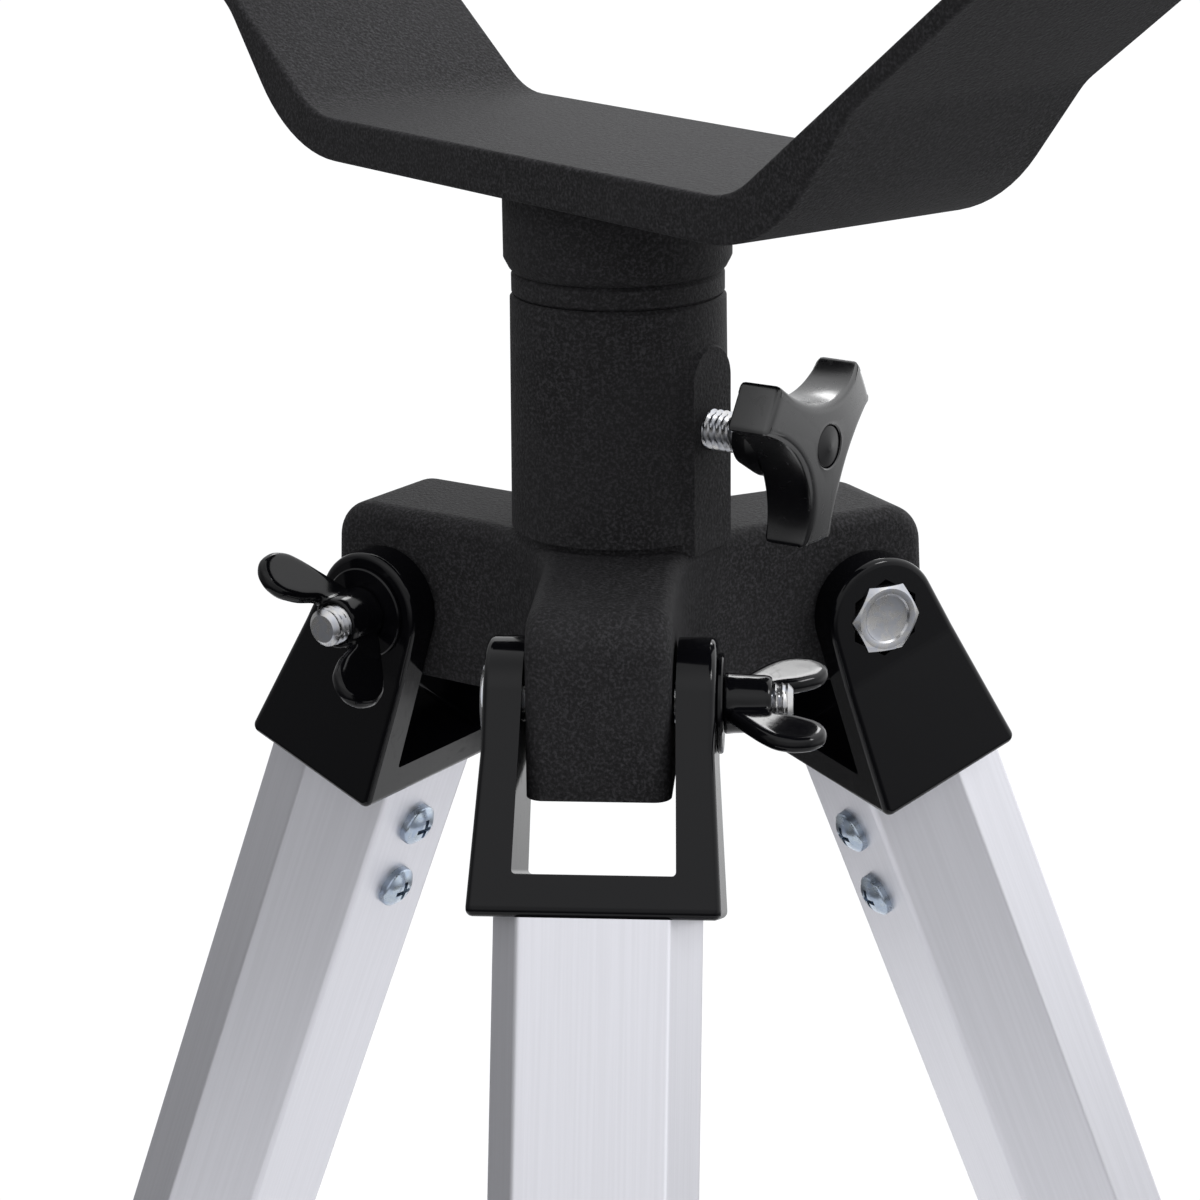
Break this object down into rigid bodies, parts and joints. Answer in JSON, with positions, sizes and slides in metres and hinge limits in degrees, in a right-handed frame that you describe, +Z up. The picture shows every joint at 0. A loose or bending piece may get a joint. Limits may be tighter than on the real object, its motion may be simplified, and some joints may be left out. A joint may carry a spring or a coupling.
{
  "type": "alt azimuth mount",
  "caption": "Fork head on a turning column with side lock, over a folding tripod of three telescoping legs with clevis brackets, wing nuts and leg locks.",
  "frame": {"origin": "on the floor, directly below the azimuth axis", "axes": "+Z up along the azimuth axis; +X along the altitude axis, towards the right arm"},
  "size_m": [0.5258, 0.5081, 0.7895],
  "materials": {
    "wrinkle_black_paint": "fine wrinkle paint, matte black",
    "gloss_black_plastic": "glossy moulded black",
    "anodised_aluminium": "satin natural anodised extrusion",
    "zinc_plated_steel": "bright zinc plate",
    "turned_steel": "fine turned, lightly greased",
    "nylon": "natural nylon",
    "black_rubber": "matte moulded rubber"
  },
  "bodies": {
    "root": {"tripod_head": "wrinkle_black_paint", "upper_bush": "nylon", "lower_bush": "nylon", "friction_ring": "wrinkle_black_paint"},
    "fork": {"fork_yoke": "wrinkle_black_paint", "azimuth_spindle": "turned_steel", "retaining_washer": "zinc_plated_steel", "retaining_screw": "zinc_plated_steel"},
    "azimuth_lock": {"azimuth_lock_knob": "gloss_black_plastic", "azimuth_lock_stud": "zinc_plated_steel", "azimuth_lock_cap": "gloss_black_plastic"},
    "altitude_right": {"altitude_knob_right": "gloss_black_plastic", "altitude_stud_right": "zinc_plated_steel", "altitude_washer_right": "zinc_plated_steel", "altitude_cap_right": "gloss_black_plastic"},
    "altitude_left": {"altitude_knob_left": "gloss_black_plastic", "altitude_stud_left": "zinc_plated_steel", "altitude_washer_left": "zinc_plated_steel", "altitude_cap_left": "gloss_black_plastic"},
    "leg_1": {"leg_bracket_1": "gloss_black_plastic", "leg_upper_1": "anodised_aluminium", "bracket_screws_1": "zinc_plated_steel", "leg_housing_1": "gloss_black_plastic", "lock_nut_1": "zinc_plated_steel", "pivot_bolt_1": "zinc_plated_steel", "pivot_washer_1": "gloss_black_plastic"},
    "lower_leg_1": {"leg_lower_1": "anodised_aluminium", "leg_guide_1": "nylon", "leg_foot_1": "black_rubber"},
    "leg_lock_1": {"leg_lock_knob_1": "gloss_black_plastic", "leg_lock_stud_1": "zinc_plated_steel"},
    "wing_nut_1": {"wing_nut_1": "gloss_black_plastic"},
    "leg_2": {"leg_bracket_2": "gloss_black_plastic", "leg_upper_2": "anodised_aluminium", "bracket_screws_2": "zinc_plated_steel", "leg_housing_2": "gloss_black_plastic", "lock_nut_2": "zinc_plated_steel", "pivot_bolt_2": "zinc_plated_steel", "pivot_washer_2": "gloss_black_plastic"},
    "lower_leg_2": {"leg_lower_2": "anodised_aluminium", "leg_guide_2": "nylon", "leg_foot_2": "black_rubber"},
    "leg_lock_2": {"leg_lock_knob_2": "gloss_black_plastic", "leg_lock_stud_2": "zinc_plated_steel"},
    "wing_nut_2": {"wing_nut_2": "gloss_black_plastic"},
    "leg_3": {"leg_bracket_3": "gloss_black_plastic", "leg_upper_3": "anodised_aluminium", "bracket_screws_3": "zinc_plated_steel", "leg_housing_3": "gloss_black_plastic", "lock_nut_3": "zinc_plated_steel", "pivot_bolt_3": "zinc_plated_steel", "pivot_washer_3": "gloss_black_plastic"},
    "lower_leg_3": {"leg_lower_3": "anodised_aluminium", "leg_guide_3": "nylon", "leg_foot_3": "black_rubber"},
    "leg_lock_3": {"leg_lock_knob_3": "gloss_black_plastic", "leg_lock_stud_3": "zinc_plated_steel"},
    "wing_nut_3": {"wing_nut_3": "gloss_black_plastic"}
  },
  "joints": [
    {"name": "azimuth_turn", "type": "hinge", "parent": "root", "child": "fork", "pos_m": [0, 0, 0.67331], "axis": [0, 0, 1], "continuous": true},
    {"name": "azimuth_lock_turn", "type": "hinge", "parent": "root", "child": "azimuth_lock", "pos_m": [0.01894, 0.00641, 0.65136], "axis": [0.9472, 0.3206, 0], "range_deg": [0, 540]},
    {"name": "altitude_turn_right", "type": "hinge", "parent": "fork", "child": "altitude_right", "pos_m": [0.1, 0, 0.76936], "axis": [1, 0, 0], "continuous": true},
    {"name": "altitude_turn_left", "type": "hinge", "parent": "fork", "child": "altitude_left", "pos_m": [-0.1, 0, 0.76936], "axis": [-1, 0, 0], "continuous": true},
    {"name": "leg_fold_1", "type": "hinge", "parent": "root", "child": "leg_1", "pos_m": [0.02723, -0.02392, 0.61936], "axis": [0.66, 0.7513, 0], "range_deg": [0, 22]},
    {"name": "leg_extend_1", "type": "slide", "parent": "leg_1", "child": "lower_leg_1", "axis": [0.2814, -0.2472, -0.9272], "range_m": [0, 0.43]},
    {"name": "leg_lock_turn_1", "type": "hinge", "parent": "leg_1", "child": "leg_lock_1", "pos_m": [0.20354, -0.17882, 0.09187], "axis": [0.6966, -0.6119, 0.3746], "range_deg": [0, 540]},
    {"name": "wing_nut_turn_1", "type": "hinge", "parent": "leg_1", "child": "wing_nut_1", "pos_m": [0.04076, -0.00852, 0.61936], "axis": [0.66, 0.7513, 0], "range_deg": [0, 720]},
    {"name": "leg_fold_2", "type": "hinge", "parent": "root", "child": "leg_2", "pos_m": [0.0071, 0.03554, 0.61936], "axis": [-0.9806, 0.1959, 0], "range_deg": [0, 22]},
    {"name": "leg_extend_2", "type": "slide", "parent": "leg_2", "child": "lower_leg_2", "axis": [0.0734, 0.3673, -0.9272], "range_m": [0, 0.43]},
    {"name": "leg_lock_turn_2", "type": "hinge", "parent": "leg_2", "child": "leg_lock_2", "pos_m": [0.05309, 0.26568, 0.09187], "axis": [0.1817, 0.9092, 0.3746], "range_deg": [0, 540]},
    {"name": "wing_nut_turn_2", "type": "hinge", "parent": "leg_2", "child": "wing_nut_2", "pos_m": [-0.013, 0.03955, 0.61936], "axis": [-0.9806, 0.1959, 0], "range_deg": [0, 720]},
    {"name": "leg_fold_3", "type": "hinge", "parent": "root", "child": "leg_3", "pos_m": [-0.03433, -0.01162, 0.61936], "axis": [0.3206, -0.9472, 0], "range_deg": [0, 22]},
    {"name": "leg_extend_3", "type": "slide", "parent": "leg_3", "child": "lower_leg_3", "axis": [-0.3548, -0.1201, -0.9272], "range_m": [0, 0.43]},
    {"name": "leg_lock_turn_3", "type": "hinge", "parent": "leg_3", "child": "leg_lock_3", "pos_m": [-0.25663, -0.08686, 0.09187], "axis": [-0.8782, -0.2973, 0.3746], "range_deg": [0, 540]},
    {"name": "wing_nut_turn_3", "type": "hinge", "parent": "leg_3", "child": "wing_nut_3", "pos_m": [-0.02775, -0.03104, 0.61936], "axis": [0.3206, -0.9472, 0], "range_deg": [0, 720]}
  ]
}
